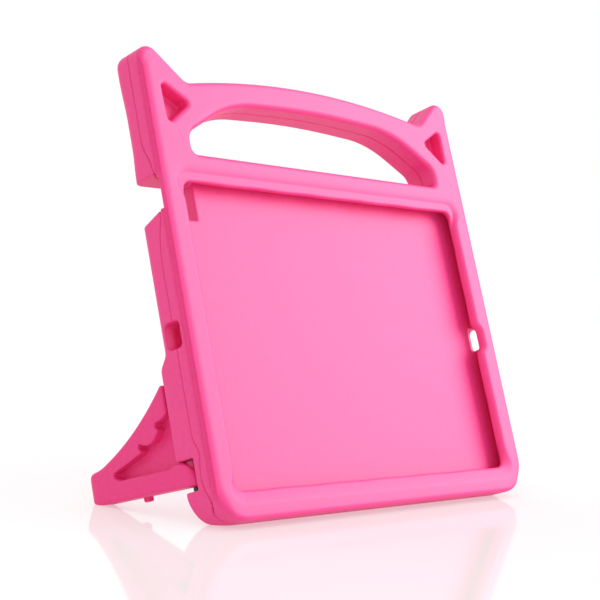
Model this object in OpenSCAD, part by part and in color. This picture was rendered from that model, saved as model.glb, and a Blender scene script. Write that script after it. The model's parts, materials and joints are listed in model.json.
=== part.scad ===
// Foam case for a 9.7-inch tablet, with a carrying handle, two ears and two fold-out wing legs.
// Millimetres. +X is the viewer's right, -Y is the front, +Z is up. The case leans back on its
// heel and on the two open legs. Shapes are drawn in the case's own upright frame, whose Y = 0
// plane is the tablet's glass, and place() leans them back onto the floor.

/* [Body] */
// Width of the foam body
body_w = 256.6; // [252:0.2:262]
// Height from the bottom edge to the ear tips
body_h = 251.6; // [247:0.2:257]
// Radius of the two bottom corners, seen from the front
corner_r = 20; // [17:1:24]
// How far the bezel's front face stands in front of the glass
bezel_front = 4.6; // [4:0.2:6]
// Depth of the back face behind the glass, above the hump
back_depth = 18.4; // [17:0.2:20]
// Depth of the raised lower back behind the glass
hump_depth = 22.3; // [21:0.1:22.3]
// Height where the raised lower back starts to fall to the upper back
hump_top = 83; // [81:1:87]

/* [Tablet pocket] */
// Width of the pocket
pocket_w = 240.8; // [240:0.2:241.6]
// Height of the pocket
pocket_h = 170.2; // [169.6:0.2:171]
// Thickness of the pocket, which is also the depth of the joint between the body's halves
pocket_t = 6.3; // [6:0.1:6.6]
// Height of the pocket's centre above the bottom edge
pocket_mid = 96.5; // [95:0.5:98]
// Width that the lip overlaps the tablet on each side
lip_w = 8; // [6:0.5:9]
// Width that the lip overlaps the tablet at the top and bottom
lip_h = 3.9; // [3:0.1:6]

/* [Handle and ears] */
// Height of the handle's top above the bottom edge, at its middle
handle_top = 243.1; // [241:0.1:245]
// Thickness of the handle's bar, top to bottom
bar_t = 14.7; // [12:0.1:16]
// Half width of the handle's opening
grip_half = 102.4; // [100:0.2:106]
// Height of the opening's flat lower edge
grip_low = 193.5; // [191:0.5:195]
// Depth of the triangular hollow in each ear
ear_hollow = 9; // [6:0.5:10]

/* [Legs] */
// Thickness of a leg's plate
leg_t = 11; // [10:0.5:11]
// Reach of an open leg behind the glass
leg_reach = 95; // [90:0.5:96]
// Depth of the wing relief in a leg's outer face
relief = 6; // [3:0.5:7]
// Depth of the hinge axis behind the glass
hinge_depth = 15; // [15:0.1:15.4]
// Radius of the hinge pin
pin_r = 1.5; // [1.2:0.1:1.6]
// Running clearance round the pin, on the radius
pin_gap = 0.05; // [0.02:0.01:0.09]
// Wall of the hard sleeve round the pin
sleeve_wall = 1.2; // [1:0.1:1.4]
// Angle that the legs are drawn folded in from open
fold = 0; // [0:5:90]

/* [Hidden] */
$fn = 48;
arc_steps = 7;              // segments in a rounded corner
over = 1;                   // how far a cutter passes a face
side = body_w / 2;          // the side faces
lip_depth = 18.7;           // rear face of the bottom strip
heel_r = 8;                 // rear edge of the bottom strip
toe_r = 4;                  // front edge of the bottom strip
crown_r = 5;                // rear edge over the ears
crown_top = body_h + 2;     // where that edge's round starts from
brow_r = 2.5;               // front edge along the ears and handle
arch_r = 532;               // curve of the handle, seen from the front
ear_r = 7;                  // ear tip
ear_slope = 40.6;           // inner edge of an ear, from the horizontal
notch_low = 18.8;           // top of the bottom strip, under the legs
notch_high = 35;            // underside of the hinge rims
root_low = 21.3;            // bottom of a leg's root
root_high = 34.4;           // top of a leg's root
knuckle_r = leg_t / 2;
hinge_x = side - knuckle_r; // hinge axis, to each side
rim_r = 7.5;                // rounded inner side of a hinge rim, about the hinge axis
rim_in = 7.1;               // flat inner side of a hinge rim, from the hinge axis
plate_start = 22.8;         // front edge of an open leg's plate, above its root
plate_top = 76.8;           // height of that edge's top
well_floor = 9.2;           // depth of the wells that the legs fold into
pin_low = 9;                // ends of a hinge pin
pin_high = 55;
notch_in = 0.5;             // how far a hinge notch reaches inside the rim's inner side
notch_floor = 8.4;          // depth of a hinge notch
port_y = [1.6, 13.1];       // front and back of a side port, behind the glass
port_z = [-6.4, 7.6];       // foot and top of a side port, from the pocket's middle
port_wall = 11;             // wall that a side port passes
camera_x = -98;             // inner side of the camera's notch
foot_r = 7.5;               // lower rear corner of a foot
sole = 0.6;                 // depth of the flats where heel and feet meet the floor
foot_low = 26.1;            // height of the foot's lower corner before rounding
nub_w = 3.6;                // width of the bump under a leg, across

// lean of the case: the floor touches the heel's and the feet's round edges
heel_c = [lip_depth - heel_r, heel_r];
foot_c = [leg_reach - foot_r, foot_low + foot_r];
rise = foot_c - heel_c;
lean = atan2(rise[1], rise[0]) - asin((foot_r - heel_r) / norm(rise));
drop = heel_c[1] * cos(lean) - heel_c[0] * sin(lean) - heel_r + sole;
front_most = (toe_r - bezel_front) * cos(lean) + toe_r * sin(lean) - toe_r;

function unit(v) = v / norm(v);
function turned(v, a) = [v[0] * cos(a) - v[1] * sin(a), v[0] * sin(a) + v[1] * cos(a)];
function xy(p) = [p[0], p[1]];
// the points that round corner b, between a and c, with radius r
function corner(a, b, c, r) = r == 0 ? [b] :
    let (u = unit(a - b), w = unit(c - b), half = acos(u * w) / 2,
         centre = b + unit(u + w) * r / sin(half), start = b + u * r / tan(half) - centre,
         turn = (cross(u, w) < 0 ? 1 : -1) * (180 - 2 * half))
    [for (i = [0:arc_steps]) centre + turned(start, turn * i / arc_steps)];
// an outline of [x, y, corner radius] points, with its corners rounded
function rounded(p) = let (n = len(p))
    [for (i = [0:n - 1]) each corner(xy(p[(i + n - 1) % n]), xy(p[i]), xy(p[(i + 1) % n]),
                                     p[i][2])];
// the points of a shallow curve from a to b that bows sideways by sag, ends left out
function bow(a, b, sag, n = 8) = let (across = turned(unit(b - a), 90))
    [for (i = [1:n - 1]) let (t = i / n) a + (b - a) * t + across * 4 * sag * t * (1 - t)];
function flat(points) = [for (p = points) [p[0], p[1], 0]];
function flip(points) = [for (i = [len(points) - 1:-1:0]) [-points[i][0], points[i][1],
                                                           points[i][2]]];

// an X-Z outline, extruded from front to back
module upright(points, y0, y1) {
    translate([0, y1, 0]) rotate([90, 0, 0]) linear_extrude(y1 - y0) polygon(points);
}
// a Y-Z outline, extruded from left to right
module sideways(points, x0, x1) {
    translate([x0, 0, 0]) rotate([90, 0, 90]) linear_extrude(x1 - x0) polygon(points);
}
// the leaning position on the floor, with the soles cut flat
module place() {
    difference() {
        translate([0, y_shift, -drop]) rotate([-lean, 0, 0]) children();
        translate([-side - over, -side, -20]) cube([body_w + 2 * over, body_w, 20]);
    }
}

// --- outlines seen from the front ---
ear_c = [side - ear_r, body_h - ear_r];
ear_peak = ear_c[1] + sqrt(pow(ear_r / sin(45 - ear_slope / 2), 2) - ear_r * ear_r);
function arch(x, top) = top - x * x / (2 * arch_r);
dip_x = 98.2;               // where an ear's slope meets the handle
arch_half = 88;
right_edge = [[side, 0, corner_r], [side, ear_peak, ear_r],
              [dip_x, ear_peak - (side - dip_x) * tan(ear_slope), 8]];
handle_arc = [for (x = [arch_half:-8:-arch_half]) [x, arch(x, handle_top), 0]];
body_outline = rounded(concat(right_edge, handle_arc, flip(right_edge)));

grip_right = [[grip_half, grip_low, 4], [grip_half, grip_low + 11.8, 9],
              [68.5, handle_top - bar_t - 2.8, 50]];
grip_arc = [for (x = [40:-8:-40]) [x, arch(x, handle_top - bar_t), 0]];
grip_outline = rounded(concat(grip_right, grip_arc, flip(grip_right)));

window_x = pocket_w / 2 - lip_w;
window_low = pocket_mid - pocket_h / 2 + lip_h;
window_high = pocket_mid + pocket_h / 2 - lip_h;
window_outline = rounded([[-window_x, window_low, 5], [window_x, window_low, 5],
    [window_x, pocket_mid - 10, 4], [window_x + 4, pocket_mid - 6, 3],
    [window_x + 4, pocket_mid + 4, 3], [window_x, pocket_mid + 8, 4],
    [window_x, window_high, 5], [-window_x, window_high, 5]]);
pocket_x = pocket_w / 2;
pocket_low = pocket_mid - pocket_h / 2;
pocket_outline = rounded([for (c = [[-1, 0], [1, 0], [1, 1], [-1, 1]])
    [c[0] * pocket_x, pocket_low + c[1] * pocket_h, 9]]);
ear_triangle = rounded([[116.4, 208, 2], [117.2, 232.5, 2], [98.6, 221.8, 2]]);

// --- outlines seen from the side ---
front_profile = rounded([[-bezel_front, 0, toe_r], [pocket_t, 0, 0], [pocket_t, crown_top, 0],
                         [-bezel_front, crown_top, brow_r]]);
rear_profile = rounded([[pocket_t, 0, 0], [lip_depth, 0, heel_r], [lip_depth, notch_low + 1, 0],
    [hump_depth, notch_low + 1, 0], [hump_depth, hump_top, 6], [back_depth, hump_top + 6, 6],
    [back_depth, crown_top, crown_r], [pocket_t, crown_top, 0]]);

// --- the legs, open, seen from the side ---
wing_start = [81, 43.9];    // where the wing's curved edge leaves the foot
wing_sag = 3;               // how far that edge sags below a straight line
wing_curve = bow(wing_start, [plate_start, plate_top], wing_sag);
leg_outline = rounded(concat([[hinge_depth - knuckle_r, root_low, 1],
    [leg_reach, foot_low, foot_r], [leg_reach, 42.4, 9], [wing_start[0], wing_start[1], 0]],
    flat(wing_curve), [[plate_start, plate_top, 1], [plate_start, root_high, 0],
                       [hinge_depth - knuckle_r, root_high, 11]]));
rear_most = max([for (p = leg_outline) p[0] * cos(lean) + p[1] * sin(lean)]);
y_shift = -(front_most + rear_most) / 2;
// plan of the plate behind the hinge, with a well rounded outer corner at the foot
plate_plan = rounded([[-knuckle_r, 0, 0], [knuckle_r, 0, 0],
                      [knuckle_r, leg_reach - hinge_depth, 8],
                      [-knuckle_r, leg_reach - hinge_depth, 1.5]]);
// bat-wing relief: a straight lower edge and three hollow arcs that end in two points
relief_outline = rounded(concat([[plate_start - 3, 36.5, 0], [26.5, 33.2, 3], [66.5, 35.2, 1.5],
    [70.8, 37.4, 0.8], [69.8, 39.7, 0.8], [45.4, 45.6, 0.7], [48, 47.9, 0.7],
    [47, 50.3, 0.6]], flat(bow([47, 50.3], [30.6, 53.8], wing_sag, 7)), [[30.6, 53.8, 0.6],
    [32.7, 55.6, 0.6], [31.9, 58, 0.6]], flat(bow([31.9, 58], [plate_start - 3, 64.5], 1.6, 5)),
    [[plate_start - 3, 64.5, 0]]));
nub = [[54.2, 26], [54.6, 22], [57.4, 22], [57.8, 26]]; // small bump under the leg

// the well for the folded legs, seen from behind
function folded_x(y) = hinge_x + hinge_depth - y;
well_gap = 1.5;
well_foot = [folded_x(wing_start[0]), wing_start[1] + well_gap];
well_top = [hinge_x - rim_in, plate_top + 2 * well_gap];
well_right = concat([[well_top[0], notch_low, 0], [well_top[0], well_top[1], 2]],
                    flat(bow(well_top, well_foot, wing_sag)), [[well_foot[0], well_foot[1], 8]]);
well_outline = rounded(concat(well_right, flip(well_right)));

// --- sub-parts ---
module side_port(s) {
    // a rounded window through the side wall, over a speaker or socket
    port = rounded([for (c = [[0, 0], [1, 0], [1, 1], [0, 1]])
        [port_y[c[0]], pocket_mid + port_z[c[1]], 3]]);
    translate([s * side, 0, 0]) sideways(port, -port_wall, port_wall);
}

module corner_notch() {
    // the tablet's camera and power button stay free at the upper left
    deep = hump_depth + over;
    sideways([[0, 181.2], [0, 162.5], [1.5, 161.5], [14, 157.5], [deep, 157.5],
              [deep, 180.2]], -side - over, camera_x);
}

module hinge_notch(s) {
    // room for a leg's root, between the bottom strip and the hinge rim
    inner = well_top[0] - notch_in;
    translate([s > 0 ? inner : -side - over, notch_floor, notch_low])
        cube([side + over - inner, hump_depth, notch_high - notch_low]);
}

module front_frame() {
    color("hotpink") place() difference() {
        intersection() {
            upright(body_outline, -bezel_front - over, pocket_t + over);
            sideways(front_profile, -side - over, side + over);
        }
        upright(window_outline, -bezel_front - over, over);
        upright(pocket_outline, 0, pocket_t + over);
        upright(grip_outline, -bezel_front - over, pocket_t + over);
        upright(ear_triangle, -bezel_front - over, ear_hollow - bezel_front);
        mirror([1, 0, 0]) upright(ear_triangle, -bezel_front - over, ear_hollow - bezel_front);
        corner_notch();
        for (s = [-1, 1]) side_port(s);
    }
}

module rear_shell() {
    color("deeppink") place() difference() {
        intersection() {
            upright(body_outline, pocket_t - over, hump_depth + over);
            sideways(rear_profile, -side - over, side + over);
        }
        upright(grip_outline, pocket_t - over, hump_depth + over);
        upright(well_outline, well_floor, hump_depth + over);
        corner_notch();
        for (s = [-1, 1]) {
            side_port(s);
            hinge_notch(s);
            rim_round(s);
            translate([s * hinge_x, hinge_depth, pin_low])
                cylinder(r = pin_r, h = pin_high - pin_low);
        }
    }
}

module rim_round(s) {
    // rounds a hinge rim's inner rear corner about the hinge axis, so that the leg clears it
    tall = well_top[1] + 2 * over - notch_high;
    translate([s * hinge_x, hinge_depth, notch_high - over]) mirror([s > 0 ? 1 : 0, 0, 0])
        difference() {
            cube([rim_r + over, rim_r + over, tall]);
            translate([0, 0, -over]) cylinder(r = rim_r, h = tall + 2 * over);
        }
}

module open_leg(s) {
    // one leg, swung about its hinge by fold
    translate([s * hinge_x, hinge_depth, 0]) rotate([0, 0, s * fold])
        translate([-s * hinge_x, -hinge_depth, 0]) children();
}

module leg(s) {
    x0 = s > 0 ? side - leg_t : -side;
    outer = s > 0 ? side - relief : -side - over;
    color("palevioletred") place() open_leg(s) difference() {
        union() {
            intersection() {
                sideways(leg_outline, x0, x0 + leg_t);
                translate([s * hinge_x, hinge_depth, 0]) union() {
                    cylinder(r = knuckle_r, h = body_h);
                    mirror([s > 0 ? 0 : 1, 0, 0]) linear_extrude(body_h) polygon(plate_plan);
                }
            }
            sideways(nub, s * (hinge_x - nub_w) - nub_w / 2, s * (hinge_x - nub_w) + nub_w / 2);
        }
        sideways(relief_outline, outer, outer + relief + over);
        translate([s * hinge_x, hinge_depth, root_low - over])
            cylinder(r = pin_r + pin_gap + sleeve_wall, h = root_high - root_low + 2 * over);
    }
}

module hinge_sleeve(s) {
    color("mediumvioletred") place() open_leg(s)
        translate([s * hinge_x, hinge_depth, root_low + 0.2]) difference() {
            cylinder(r = pin_r + pin_gap + sleeve_wall, h = root_high - root_low - 0.2);
            translate([0, 0, -over])
                cylinder(r = pin_r + pin_gap, h = root_high - root_low + 2 * over);
        }
}

module hinge_pin(s) {
    color("dimgray") place() translate([s * hinge_x, hinge_depth, pin_low])
        cylinder(r = pin_r, h = pin_high - pin_low);
}

module left_leg() leg(-1);
module right_leg() leg(1);
module left_hinge_sleeve() hinge_sleeve(-1);
module right_hinge_sleeve() hinge_sleeve(1);
module left_hinge_pin() hinge_pin(-1);
module right_hinge_pin() hinge_pin(1);

front_frame();
rear_shell();
left_leg();
right_leg();
left_hinge_sleeve();
right_hinge_sleeve();
left_hinge_pin();
right_hinge_pin();
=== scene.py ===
"""Looks of a foam tablet case with a handle, two ears and two folding wing legs.

The foam pieces are distance fields in the case's own upright frame, in millimetres: x to the
right, y backwards from the tablet's glass, z up from the bottom edge. Each one is meshed on a
grid that is fine where it curves, drawn onto the field, and leant back like the CAD case.
"""

import itertools
import json
import math

import bpy
import numpy as np
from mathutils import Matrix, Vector


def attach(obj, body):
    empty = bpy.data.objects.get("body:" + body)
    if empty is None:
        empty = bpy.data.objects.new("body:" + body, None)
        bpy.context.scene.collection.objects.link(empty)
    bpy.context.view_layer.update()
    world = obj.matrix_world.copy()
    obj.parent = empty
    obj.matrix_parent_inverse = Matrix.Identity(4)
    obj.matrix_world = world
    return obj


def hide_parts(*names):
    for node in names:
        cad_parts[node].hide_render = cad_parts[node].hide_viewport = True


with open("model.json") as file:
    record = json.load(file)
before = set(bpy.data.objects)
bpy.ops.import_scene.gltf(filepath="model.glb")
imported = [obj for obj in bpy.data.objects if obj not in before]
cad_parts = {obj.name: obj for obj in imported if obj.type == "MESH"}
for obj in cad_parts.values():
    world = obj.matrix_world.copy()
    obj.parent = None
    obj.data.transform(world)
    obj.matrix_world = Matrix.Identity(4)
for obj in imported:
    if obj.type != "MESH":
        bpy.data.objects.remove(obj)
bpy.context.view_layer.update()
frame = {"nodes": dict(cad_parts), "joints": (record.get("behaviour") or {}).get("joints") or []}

MM = 0.001

# ---------------------------------------------------------------- sizes, in millimetres
SIDE = 128.3  # side faces
FRONT = 4.6  # bezel's front face, in front of the glass
LIP_EDGE = 2.1  # thickness of the lip at the window's edge
WINDOW_SIDE, WINDOW_LOW, WINDOW_HIGH = 112.4, 15.3, 177.7
BELOW_WINDOW, ABOVE_WINDOW = (12, 28), (166, 182)  # heights between which the lip's shape changes
ROLL_DEPTH, ROLL_WIDTH = 2.7, 6.5  # how the bezel's face rolls back at the sides
GROOVE_FRONT, GROOVE_RADIUS = 1.8, 1.5  # side groove: its middle in front of the glass, its radius
POCKET_SIDE, POCKET_LOW, POCKET_HIGH = 120.4, 11.4, 181.6
SEAM = 6.3  # joint between the front and the rear half, behind the glass
SEAM_GAP = 0.02  # each half stops this short of the joint
STRIP_BACK, HUMP_BACK, UPPER_BACK = 18.7, 22.3, 18.4  # the rear faces, behind the glass
STRIP_TOP = 18.8  # top of the bottom strip
WELL_SIDE, WELL_TOP = 115.7, 79.8  # the well that the legs fold into
WELL_FLOOR = 9.2  # floor of the well, behind the glass
PORT_INNER = 117.3  # inner end of a side port
CAMERA_NOTCH_INNER = -98.0  # inner end of the camera notch
EAR_FOOT_X, EAR_FOOT_Z = 98.2, 234.0  # where the handle meets an ear
EAR_TIP = 259.8
ARCH_SLOPE = 0.18  # of the lines that the handle's arch touches at its ends
HINGE_X, HINGE_Y, HINGE_Z = 122.8, 15.0, 30.0  # the point that a hinge's joint is given at
NOTCH_INNER, NOTCH_FLOOR, NOTCH_TOP = 115.2, 8.4, 35.0  # the notch that a leg's root turns in
RIM_RADIUS = 7.5  # round of a hinge rim's inner corner, about the hinge's axis
SLEEVE_RADIUS = 2.75  # of the hole for the hinge's sleeve
LEG_HALF, LEG_REACH = 5.5, 80.0  # half a leg's thickness, and its reach behind the hinge's axis
LEG_FRONT = 22.8  # front edge of a leg's wing, behind the glass
RELIEF = 6.0  # depth of the wing relief in a leg's outer face
NUB_X, NUB_HALF = 119.4, 1.8  # middle and half thickness of the nub under a leg


# ---------------------------------------------------------------- where the case leans
def case_frame():
    """Sine and cosine of the lean, and the shift of the upright frame, from the hinge's joint."""
    joint = next(j for j in frame["joints"] if j["name"] == "right_leg_fold")
    axis, point = joint["axis"], [c / MM for c in joint["pos_m"]]
    s, c = axis[1], axis[2]
    shift = point[1] - (HINGE_Y * c + HINGE_Z * s)
    lift = point[2] - (HINGE_Z * c - HINGE_Y * s)
    return s, c, shift, lift


LEAN_SIN, LEAN_COS, SHIFT, LIFT = case_frame()


def floor_height(y, z):
    """Height above the floor of a point of the upright frame."""
    return z * LEAN_COS - y * LEAN_SIN + LIFT


def to_row(points):
    """Upright millimetres to the row frame's metres."""
    x, y, z = points.T
    return np.stack([x, y * LEAN_COS + z * LEAN_SIN + SHIFT, floor_height(y, z)], 1) * MM


# ---------------------------------------------------------------- distance fields
class Outline:
    """Signed distance to a closed outline, negative inside.

    The outline is given anticlockwise, as corners of (u, v, radius).
    """

    def __init__(self, *corners):
        points = np.array([c[:2] for c in corners], float)
        self.arcs, ends = [], []
        for i, (_, _, r) in enumerate(corners):
            here = points[i]
            back = points[i - 1] - here
            on = points[(i + 1) % len(points)] - here
            back, on = back / np.hypot(*back), on / np.hypot(*on)
            half = math.acos(np.clip(back @ on, -1, 1)) / 2
            bulge = (back + on) / np.hypot(*(back + on))
            turn = on[0] * back[1] - on[1] * back[0]
            centre = here + bulge * r / math.sin(half)
            self.arcs.append((centre, r, math.copysign(1, turn), -bulge, math.sin(half)))
            reach = r / math.tan(half)
            ends.append((here + back * reach, here + on * reach))
        self.lines = [(ends[i - 1][1], ends[i][0]) for i in range(len(ends))]

    def __call__(self, u, v):
        best = np.full(np.broadcast(u, v).shape, 1e6)
        for a, b in self.lines:
            length = np.hypot(*(b - a))
            du, dv = (b - a) / length
            pu, pv = u - a[0], v - a[1]
            t = np.clip(pu * du + pv * dv, 0, length)
            far = np.hypot(pu - t * du, pv - t * dv)
            found = np.copysign(far, pu * dv - pv * du)
            best = np.where(far < abs(best), found, best)
        for centre, r, side, middle, reach in self.arcs:
            pu, pv = u - centre[0], v - centre[1]
            rho = np.hypot(pu, pv)
            found = side * (rho - r)
            near = (pu * middle[0] + pv * middle[1] >= rho * reach) & (abs(found) < abs(best))
            best = np.where(near, found, best)
        return best


def bow(a, b, sag):
    """The corner whose round is a shallow curve from a to b that bows to the left by sag."""
    a, b = np.array(a[:2], float), np.array(b[:2], float)
    chord = np.hypot(*(b - a))
    across = np.array([a[1] - b[1], b[0] - a[0]]) / chord
    return (*((a + b) / 2 + across * 2 * sag), 0.85 * chord**2 / (8 * abs(sag)))


def mirrored(corners, *middle):
    """Corners on the right, any in the middle, and the mirror images of the right ones."""
    return [*corners, *middle, *[(-u, v, r) for u, v, r in reversed(corners)]]


def meet(a, b, r):
    """Where both solids are, with the edge between them rounded."""
    return np.minimum(-r, np.maximum(a, b)) + np.hypot(np.maximum(a + r, 0), np.maximum(b + r, 0))


def cut(a, b, r):
    """Solid a without b, with the new edge rounded."""
    return meet(a, -b, r)


def join(a, b, r):
    """Both solids, with a fillet between them."""
    return -meet(-a, -b, r)


def ease(v, low, high):
    """0 below low, 1 above high, and smooth between."""
    t = np.clip((v - low) / (high - low), 0, 1)
    return t * t * (3 - 2 * t)


# ---------------------------------------------------------------- outlines seen from the front
arch_top = (0, EAR_FOOT_Z + EAR_FOOT_X * ARCH_SLOPE, 530)
body_outline = Outline(
    *mirrored([(SIDE, 0, 20), (SIDE, EAR_TIP, 7), (EAR_FOOT_X, EAR_FOOT_Z, 8)], arch_top)
)
grip_top = (0, 229.3, 600)
grip_outline = Outline(
    *mirrored([(102.4, 193.5, 4), (102.4, 205.3, 9), (67.8, 225.4, 75)], grip_top)
)
window_outline = Outline(
    *[(-WINDOW_SIDE, WINDOW_LOW, 5), (WINDOW_SIDE, WINDOW_LOW, 5)],
    *[(WINDOW_SIDE, 86.5, 4), (116.4, 90.5, 3), (116.4, 100.5, 3), (WINDOW_SIDE, 104.5, 4)],
    *[(WINDOW_SIDE, WINDOW_HIGH, 5), (-WINDOW_SIDE, WINDOW_HIGH, 5)],
)
pocket_outline = Outline(
    *[(-POCKET_SIDE, POCKET_LOW, 9), (POCKET_SIDE, POCKET_LOW, 9)],
    *[(POCKET_SIDE, POCKET_HIGH, 9), (-POCKET_SIDE, POCKET_HIGH, 9)],
)
ear_outline = Outline((116.4, 208, 2.2), (117.2, 232.5, 2.2), (98.6, 221.8, 2.2))
well_top, well_foot = (WELL_SIDE, WELL_TOP, 2), (56.8, 45.4, 8)
well_outline = Outline(
    *mirrored([(WELL_SIDE, STRIP_TOP, 1), well_top, bow(well_top, well_foot, 3), well_foot])
)

# ---------------------------------------------------------------- outlines seen from the side
port_outline = Outline((1.6, 90.1, 3), (13.1, 90.1, 3), (13.1, 104.1, 3), (1.6, 104.1, 3))
camera_outline = Outline(
    *[(-0.2, 181.4, 1), (-0.2, 162.5, 0.6), (1.5, 161.5, 0.6), (14, 157.5, 3)],
    *[(26, 157.5, 1), (26, 180, 1)],
)
wing_start, wing_end = (81, 43.9, 30), (LEG_FRONT, 76.8, 1.2)
leg_outline = Outline(
    *[(9.5, 21.3, 1.2), (HINGE_Y + LEG_REACH, 26.1, 7.5), (HINGE_Y + LEG_REACH, 42.4, 8)],
    *[wing_start, bow(wing_start, wing_end, 3), wing_end],
    *[(LEG_FRONT, 34.4, 1.2), (9.5, 34.4, 11.5)],
)
leg_plan = Outline(
    *[(-LEG_HALF, LEG_REACH, 1.8), (-LEG_HALF, -LEG_HALF, 5.4)],
    *[(LEG_HALF, -LEG_HALF, 5.4), (LEG_HALF, LEG_REACH, 8.5)],
)
feather_1, feather_2, feather_3 = (47, 50.3, 0.7), (30.6, 53.8, 0.7), (31.9, 58, 0.7)
relief_outline = Outline(
    *[(19.8, 36.5, 1), (26.5, 33.2, 3), (66.5, 35.2, 1.5), (70.8, 37.4, 0.9), (69.8, 39.7, 0.8)],
    *[(45.4, 45.6, 0.8), (48, 47.9, 0.8), feather_1, bow(feather_1, feather_2, 3), feather_2],
    *[(32.7, 55.6, 0.7), feather_3, bow(feather_3, (19.8, 64.5), 1.6), (19.8, 64.5, 0.3)],
)
nub_outline = Outline((53.8, 21.5, 0.6), (57.8, 21.5, 0.6), (58.2, 27, 0.6), (53.4, 27, 0.6))


# ---------------------------------------------------------------- the solids
# the joint line along a side wall, as (height, depth behind the glass)
SEAM_LINE = [
    *[(0, 0.4), (6.5, 0.4), (17, 3), (21, 4.9), (30, 4.4), (37, 2.2), (42, 6), (46, SEAM)],
    *[(137, SEAM), (150, 4.3), (157, 1.5), (181, 1.2), (187, 2), (197, SEAM)],
]


def seam_depth(x, z):
    """Depth of the joint between the halves: flat inside, wandering along the side walls."""
    heights, depths = zip(*SEAM_LINE)
    steps = (-3, -1, 1, 3)
    wandering = sum(np.interp(z + step, heights, depths) for step in steps) / len(steps)
    return SEAM + (wandering - SEAM) * ease(abs(x), 121.5, 127.5)


def common_cuts(f, x, y, z, grip):
    """The openings that pass through both halves, and the flat sole."""
    f = cut(f, grip, 3.2)
    f = cut(f, np.maximum(camera_outline(y, z), x - CAMERA_NOTCH_INNER), 1.0)
    f = cut(f, np.maximum(port_outline(y, z), PORT_INNER - abs(x)), 0.7)
    return meet(f, -floor_height(y, z), 0.4)


def lip_drop(window, z):
    """How far the bezel falls towards the window: a bevel below, a flat band above, rounds beside."""
    below, above = 1 - ease(z, *BELOW_WINDOW), ease(z, *ABOVE_WINDOW)
    beside = 1 - below - above
    start = 0.6 * below + 4.8 * above
    width = 7 * below + 6.2 * above + 3.6 * beside
    power = 1.2 * below + 2.2 * above + 2.4 * beside
    deepest = FRONT - LIP_EDGE - 1.2 * above + 0.5 * beside
    return deepest * (1 - np.clip((window - start) / width, 0, 1)) ** power


def rolled_front(x, y, z, body, window):
    """The bezel's block: its face rolls back at the sides, in front of a groove along them."""
    uprights = ease(abs(x), 117, 125) * (1 - ease(z, 238, 248))
    rolled = np.maximum(uprights, 0.12 * (1 - ease(z, 18, 32)))
    sides = uprights * ease(z, 6, 20)
    rim = body - 0.8 * sides * ease(-y, 1.6, 2.6)
    roll = ROLL_DEPTH * rolled * (1 - np.clip(-rim / ROLL_WIDTH, 0, 1)) ** 2.3
    face = -y - (FRONT - roll - lip_drop(window, z))
    edge = 3.0 - 1.8 * sides - 0.7 * (1 - ease(z, *BELOW_WINDOW))
    groove = np.hypot(body + 0.4, -y - GROOVE_FRONT) - GROOVE_RADIUS * sides
    return cut(meet(rim, face, edge), groove, 0.5)


def front_solid(x, y, z):
    """Front half: bezel, pocket walls, and the front of the handle and ears."""
    window = window_outline(x, z)
    f = rolled_front(x, y, z, body_outline(x, z), window)
    wavy = window + 0.15 * np.sin(0.16 * x + 1.3) + 0.15 * np.sin(0.19 * z + 0.4)
    f = cut(f, np.maximum(wavy, y - 0.3), 1.1)
    f = cut(f, meet(ear_outline(abs(x), z), y - 4.4, 1.2), 1.8)
    f = common_cuts(f, x, y, z, grip_outline(x, z))
    f = cut(f, np.maximum(pocket_outline(x, z), -y), 0.4)
    return meet(f, y - seam_depth(x, z) + SEAM_GAP, 0.7)


def rear_depth(z):
    """Depth of the rear face: bottom strip, hump, upper block."""
    hump = STRIP_BACK + (HUMP_BACK - STRIP_BACK) * ease(z, 19, 20)
    return hump + (UPPER_BACK - HUMP_BACK) * ease(z, 81.5, 90)


def rear_round(x, z):
    """Radius of the rear face's outer edge."""
    strip = 2.4 + 5.6 * (1 - ease(abs(x), 104, 122))
    upper = 2.4 * ease(z, 80, 92) + 1.8 * ease(z, 182, 200) - 2.0 * ease(z, 215, 240)
    return strip + (3.2 - strip) * ease(z, 15, 20) + upper


def rear_solid(x, y, z):
    """Rear half: back wall, well, hinge notches and rims, and the back of the handle and ears."""
    wide = abs(x)
    f = meet(body_outline(x, z), y - rear_depth(z), rear_round(x, z))
    f = cut(f, meet(well_outline(x, z), WELL_FLOOR - y, 1.5), 1.4)
    notch_height = abs(z - (NOTCH_TOP + STRIP_TOP) / 2) - (NOTCH_TOP - STRIP_TOP) / 2
    f = cut(f, meet(meet(NOTCH_INNER - wide, NOTCH_FLOOR - y, 0.6), notch_height, 0.6), 0.8)
    across, along = wide - HINGE_X, y - HINGE_Y
    corner = np.maximum(np.maximum(across, -along), z - WELL_TOP)
    f = cut(f, np.maximum(corner, RIM_RADIUS - np.hypot(across, along)), 0.6)
    f = common_cuts(f, x, y, z, grip_outline(x, z))
    return meet(f, seam_depth(x, z) - y + SEAM_GAP, 0.7)


def leg_solid(x, y, z):
    """Right leg, open: a wing with a relief in its outer face and a nub underneath."""
    across, along = x - HINGE_X, y - HINGE_Y
    f = meet(leg_outline(y, z), leg_plan(across, along), 1.7)
    relief = meet(relief_outline(y, z), SIDE - RELIEF - x, 0.5)
    f = cut(f, relief, 0.45 + 1.1 * (1 - ease(z, 35, 39)))
    f = join(f, meet(nub_outline(y, z), abs(x - NUB_X) - NUB_HALF, 0.5), 0.5)
    f = cut(f, np.hypot(across, along) - SLEEVE_RADIUS, 0.3)
    return meet(f, -floor_height(y, z), 0.4)


# ---------------------------------------------------------------- meshing
def grid_lines(*spans):
    """Grid lines over spans of (start, end, step)."""
    out = [np.array([spans[0][0]], float)]
    for start, end, step in spans:
        out.append(np.linspace(start, end, max(1, round((end - start) / step)) + 1)[1:])
    return np.concatenate(out)


def gradient(solid, p, h=0.02):
    """Value and gradient of a field at points."""
    value = solid(*p.T)
    slopes = [solid(*(p + h * e).T) - solid(*(p - h * e).T) for e in np.eye(3)]
    return value, np.stack(slopes, 1) / (2 * h)


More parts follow.
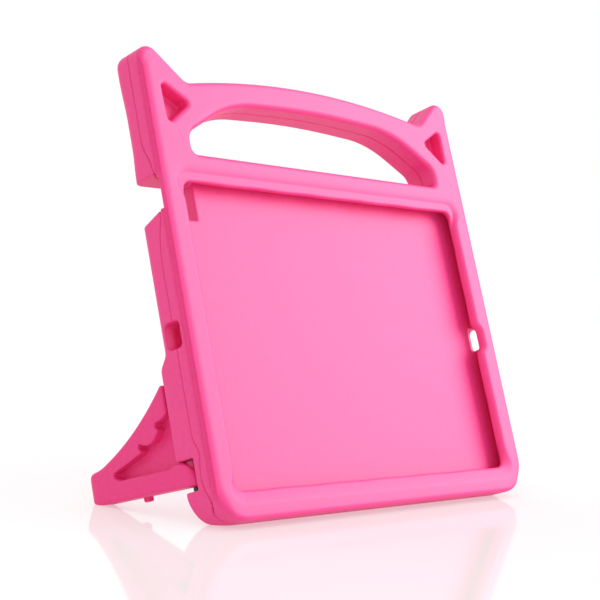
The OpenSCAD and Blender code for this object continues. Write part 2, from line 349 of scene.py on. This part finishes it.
def draw_onto(solid, p, steps=3, longest=0.5):
    """Moves points onto the surface of a solid, by at most the longest move in each step."""
    for _ in range(steps):
        value, slope = gradient(solid, p)
        steepness = np.maximum((slope**2).sum(1), 0.05)
        move = slope * (value / steepness)[:, None]
        far = np.maximum(np.linalg.norm(move, axis=1), 1e-9)
        p = p - move * np.minimum(1, longest / far)[:, None]
    return p


def crossings(f, axis):
    """The grid's edges along an axis: which are crossed, how far along, and which start inside."""
    low = tuple(slice(0, -1) if a == axis else slice(None) for a in range(3))
    high = tuple(slice(1, None) if a == axis else slice(None) for a in range(3))
    starts_inside = f[low] < 0
    crossed = starts_inside != (f[high] < 0)
    part = np.where(crossed, f[low] / np.where(crossed, f[low] - f[high], 1), 0)
    return crossed, part, starts_inside


def cell_points(grid, edges):
    """Sum and number of the crossing points on the edges of each cell."""
    cells = tuple(len(lines) - 1 for lines in grid)
    total, count = np.zeros((*cells, 3)), np.zeros(cells)
    for axis, (crossed, part, _) in enumerate(edges):
        others = [a for a in range(3) if a != axis]
        for starts in itertools.product((0, 1), repeat=2):
            view = [slice(None)] * 3
            for a, start in zip(others, starts):
                view[a] = slice(start, start + cells[a])
            hit = crossed[tuple(view)]
            count += hit
            for a in range(3):
                shape = [-1 if b == a else 1 for b in range(3)]
                if a == axis:
                    place = grid[a][:-1].reshape(shape)
                    place = place + part[tuple(view)] * np.diff(grid[a]).reshape(shape)
                else:
                    place = grid[a][view[a]].reshape(shape)
                total[..., a] += np.where(hit, place, 0)
    return total, count


def cell_quads(edges, number):
    """A quad round each crossed edge, through the numbered points of the four cells beside it."""
    quads = []
    for axis, (crossed, _, starts_inside) in enumerate(edges):
        b, c = (axis + 1) % 3, (axis + 2) % 3
        inner = [slice(None)] * 3
        inner[b] = inner[c] = slice(1, -1)
        at = np.argwhere(crossed[tuple(inner)])
        outwards = starts_inside[tuple(inner)][tuple(at.T)]
        ring = []
        for db, dc in ((0, 0), (1, 0), (1, 1), (0, 1)):
            cell = at.copy()
            cell[:, b] += db
            cell[:, c] += dc
            ring.append(number[tuple(cell.T)])
        ring = np.stack(ring, 1)
        quads.append(np.where(outwards[:, None], ring, ring[:, ::-1]))
    return np.concatenate(quads)


def surface(solid, *grid):
    """Points and quads of a solid's surface: one point in each cell that the surface crosses."""
    f = solid(*np.ix_(*grid))
    edges = [crossings(f, axis) for axis in range(3)]
    total, count = cell_points(grid, edges)
    used = count > 0
    number = np.cumsum(used.ravel()).reshape(used.shape) - 1
    points = total[used] / count[used][:, None]
    return draw_onto(solid, points), cell_quads(edges, number)


def make_piece(name, points, quads):
    """A smooth mesh object in the row frame, from points of the upright frame."""
    mesh = bpy.data.meshes.new(name)
    mesh.vertices.add(len(points))
    mesh.vertices.foreach_set("co", to_row(points).astype(np.float32).ravel())
    mesh.loops.add(quads.size)
    mesh.loops.foreach_set("vertex_index", quads.astype(np.int32).ravel())
    mesh.polygons.add(len(quads))
    mesh.polygons.foreach_set("loop_start", np.arange(0, quads.size, 4, dtype=np.int32))
    mesh.polygons.foreach_set("use_smooth", np.ones(len(quads), bool))
    mesh.update(calc_edges=True)
    mesh.validate()
    piece = bpy.data.objects.new(name, mesh)
    bpy.context.scene.collection.objects.link(piece)
    return piece


def mirror(points, quads):
    """The mirror image, left for right."""
    return points * np.array([-1, 1, 1]), quads[:, ::-1]


# the grids are fine where a piece curves and coarse across its flat stretches
front_grid = (
    grid_lines((-129.2, -94, 0.88), (-94, 94, 2.6), (94, 129.2, 0.88)),
    grid_lines((-5.1, -0.9, 0.42), (-0.9, 4.5, 0.6), (4.5, 7.0, 0.4)),
    grid_lines((-0.9, 46, 0.9), (46, 84, 3.2), (84, 109, 0.9), (109, 134, 3.2), (134, 252.6, 0.9)),
)
rear_grid = (
    grid_lines((-129.2, -94, 1.0), (-94, 94, 2.6), (94, 129.2, 1.0)),
    grid_lines((-0.4, 7.5, 0.45), (7.5, 23.2, 0.62)),
    grid_lines((-0.9, 23, 0.95), (23, 109, 1.3), (109, 134, 3.2), (134, 252.6, 1.05)),
)
leg_grid = (
    grid_lines((116.8, 128.9, 0.5)),
    grid_lines((8.9, 96, 0.6)),
    grid_lines((20.6, 77.6, 0.6)),
)
leg_mesh = surface(leg_solid, *leg_grid)
foam = {
    "case_front": ("front_frame", "case", "body_foam", surface(front_solid, *front_grid)),
    "case_rear": ("rear_shell", "case", "body_foam", surface(rear_solid, *rear_grid)),
    "wing_leg_right": ("right_leg", "right_leg", "leg_foam", leg_mesh),
    "wing_leg_left": ("left_leg", "left_leg", "leg_foam", mirror(*leg_mesh)),
}


# ---------------------------------------------------------------- materials
BODY_PINK = (0.87, 0.044, 0.246)
# the legs' pink is the body foam's pink made darker and deeper: painted shade for the legs' shaded
# faces
LEG_PINK_PAINTED_SHADE = (0.85, 0.033, 0.218)
SLEEVE_PINK = (0.62, 0.03, 0.16, 1)
# blackened steel, kept dark as painted shade where the pin's ends show in the hinge gaps
BLACKENED_STEEL_GAP_SHADE = (0.07, 0.06, 0.065, 1)
WHITE = (1, 1, 1, 1)
DARKEST_SPECK = 0.88  # of the foam's colour


def new_material(name):
    """A material, its nodes and links, and its shader."""
    material = bpy.data.materials.new(name)
    material.use_nodes = True
    nodes = material.node_tree.nodes
    return material, nodes, material.node_tree.links, nodes["Principled BSDF"]


def foam_material(name, colour, shine):
    """Matte closed-cell foam: a finely speckled colour and a leathery skin."""
    material, nodes, links, shader = new_material(name)
    shader.inputs["Roughness"].default_value = 0.5
    shader.inputs["Specular IOR Level"].default_value = shine
    place = nodes.new("ShaderNodeTexCoord")
    mottle = nodes.new("ShaderNodeTexNoise")
    mottle.inputs["Scale"].default_value = 420
    mottle.inputs["Detail"].default_value = 4
    mottle.inputs["Roughness"].default_value = 0.7
    tint = nodes.new("ShaderNodeValToRGB")
    tint.color_ramp.elements[0].position = 0.3
    tint.color_ramp.elements[0].color = (*[c * DARKEST_SPECK for c in colour], 1)
    tint.color_ramp.elements[1].position = 0.7
    tint.color_ramp.elements[1].color = (*colour, 1)
    skin = nodes.new("ShaderNodeTexNoise")
    skin.inputs["Scale"].default_value = 900
    skin.inputs["Detail"].default_value = 2
    bump = nodes.new("ShaderNodeBump")
    bump.inputs["Strength"].default_value = 0.35
    bump.inputs["Distance"].default_value = 0.0002
    links.new(place.outputs["Object"], mottle.inputs["Vector"])
    links.new(place.outputs["Object"], skin.inputs["Vector"])
    links.new(mottle.outputs["Fac"], tint.inputs["Fac"])
    links.new(tint.outputs["Color"], shader.inputs["Base Color"])
    links.new(skin.outputs["Fac"], bump.inputs["Height"])
    links.new(bump.outputs["Normal"], shader.inputs["Normal"])
    return material


def vary_roughness(nodes, links, shader, vector, scale, low, high):
    """Lets a noise move the roughness between low and high."""
    noise = nodes.new("ShaderNodeTexNoise")
    noise.inputs["Scale"].default_value = scale
    rough = nodes.new("ShaderNodeMapRange")
    rough.inputs["To Min"].default_value = low
    rough.inputs["To Max"].default_value = high
    links.new(vector, noise.inputs["Vector"])
    links.new(noise.outputs["Fac"], rough.inputs["Value"])
    links.new(rough.outputs["Result"], shader.inputs["Roughness"])


def steel_material():
    """Blackened steel pin, with fine upright streaks; its black is partly a real finish and partly
    painted shade where the pin shows in the hinge gaps.
    """
    material, nodes, links, shader = new_material("pin_steel")
    shader.inputs["Base Color"].default_value = BLACKENED_STEEL_GAP_SHADE
    shader.inputs["Metallic"].default_value = 1.0
    place = nodes.new("ShaderNodeTexCoord")
    spread = nodes.new("ShaderNodeMapping")
    spread.inputs["Scale"].default_value = (4000, 4000, 60)
    links.new(place.outputs["Object"], spread.inputs["Vector"])
    vary_roughness(nodes, links, shader, spread.outputs["Vector"], 1, 0.25, 0.45)
    return material


def plastic_material():
    """Moulded plastic sleeve, satin, in the foam's pink."""
    material, nodes, links, shader = new_material("hinge_plastic")
    shader.inputs["Base Color"].default_value = SLEEVE_PINK
    place = nodes.new("ShaderNodeTexCoord")
    vary_roughness(nodes, links, shader, place.outputs["Object"], 900, 0.38, 0.52)
    return material


finishes = {
    "body_foam": foam_material("body_foam", BODY_PINK, 0.5),
    # the legs' foam is the body's foam, with painted shade in its darker, deeper pink
    "leg_foam": foam_material("leg_foam", LEG_PINK_PAINTED_SHADE, 0.4),
    "hinge_plastic": plastic_material(),
    "pin_steel": steel_material(),
}


def dress(item, finish):
    """Gives an object its finish, and the slot of the same name."""
    item.data.materials.clear()
    item.data.materials.append(finishes[finish])


for name, (node, body, finish, mesh) in foam.items():
    piece = make_piece(name, *mesh)
    dress(piece, finish)
    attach(piece, body)
    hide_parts(node)
    dress(frame["nodes"][node], finish)
for hand in ("left", "right"):
    dress(frame["nodes"][f"{hand}_hinge_sleeve"], "hinge_plastic")
    dress(frame["nodes"][f"{hand}_hinge_pin"], "pin_steel")


# ---------------------------------------------------------------- floor, light and camera
def floor():
    """A pale plain floor that glows a little, with a faint, soft reflection."""
    mesh = bpy.data.meshes.new("floor")
    half = 30.0  # metres
    corners = [(-half, -half, 0), (half, -half, 0), (half, half, 0), (-half, half, 0)]
    mesh.from_pydata(corners, [], [(0, 1, 2, 3)])
    item = bpy.data.objects.new("floor", mesh)
    bpy.context.scene.collection.objects.link(item)
    material, nodes, links, shader = new_material("floor")
    shader.inputs["Base Color"].default_value = (0.5, 0.5, 0.5, 1)
    shader.inputs["Roughness"].default_value = 1.0
    shader.inputs["Emission Color"].default_value = WHITE
    shader.inputs["Emission Strength"].default_value = 0.54
    shader.inputs["Specular IOR Level"].default_value = 0.0
    gloss = nodes.new("ShaderNodeBsdfGlossy")
    gloss.inputs["Color"].default_value = WHITE
    gloss.inputs["Roughness"].default_value = 0.07
    both = nodes.new("ShaderNodeMixShader")
    both.inputs["Fac"].default_value = 0.22
    links.new(shader.outputs["BSDF"], both.inputs[1])
    links.new(gloss.outputs["BSDF"], both.inputs[2])
    links.new(both.outputs["Shader"], nodes["Material Output"].inputs["Surface"])
    mesh.materials.append(material)


def softbox(name, place, target, size, power):
    """A rectangular light that faces its target."""
    light = bpy.data.lights.new(name, "AREA")
    light.shape = "RECTANGLE"
    light.size, light.size_y = size
    light.energy = power
    item = bpy.data.objects.new(name, light)
    bpy.context.scene.collection.objects.link(item)
    item.location = place
    item.rotation_euler = (Vector(target) - Vector(place)).to_track_quat("-Z", "Y").to_euler()
    return item


def camera():
    """The photo's camera, solved from the corners of the tablet's display."""
    lens = bpy.data.cameras.new("camera")
    lens.sensor_width = 36
    lens.lens = 86.55
    lens.clip_start, lens.clip_end = 0.01, 100
    item = bpy.data.objects.new("camera", lens)
    bpy.context.scene.collection.objects.link(item)
    item.location = (-0.6092, -0.5544, 0.1204)
    item.rotation_euler = [math.radians(a) for a in (89.494, -3.004, -46.434)]
    bpy.context.scene.camera = item


def white_world():
    """White all round, as in the photo's studio."""
    world = bpy.data.worlds.new("studio")
    world.use_nodes = True
    background = world.node_tree.nodes["Background"]
    background.inputs["Color"].default_value = WHITE
    background.inputs["Strength"].default_value = 1.0
    bpy.context.scene.world = world


def key_light():
    """The light from the front right, which leaves the floor out."""
    key = softbox("key", place=(1.2, -0.95, 0.85), target=(0, 0, 0.12), size=(1.4, 1.4), power=34)
    lit = bpy.data.collections.new("lit")
    for item in [o for o in bpy.data.objects if o.type == "MESH" and o.name != "floor"]:
        lit.objects.link(item)
    key.light_linking.receiver_collection = lit


floor()
white_world()
key_light()
camera()
bpy.context.scene.view_settings.view_transform = "Standard"
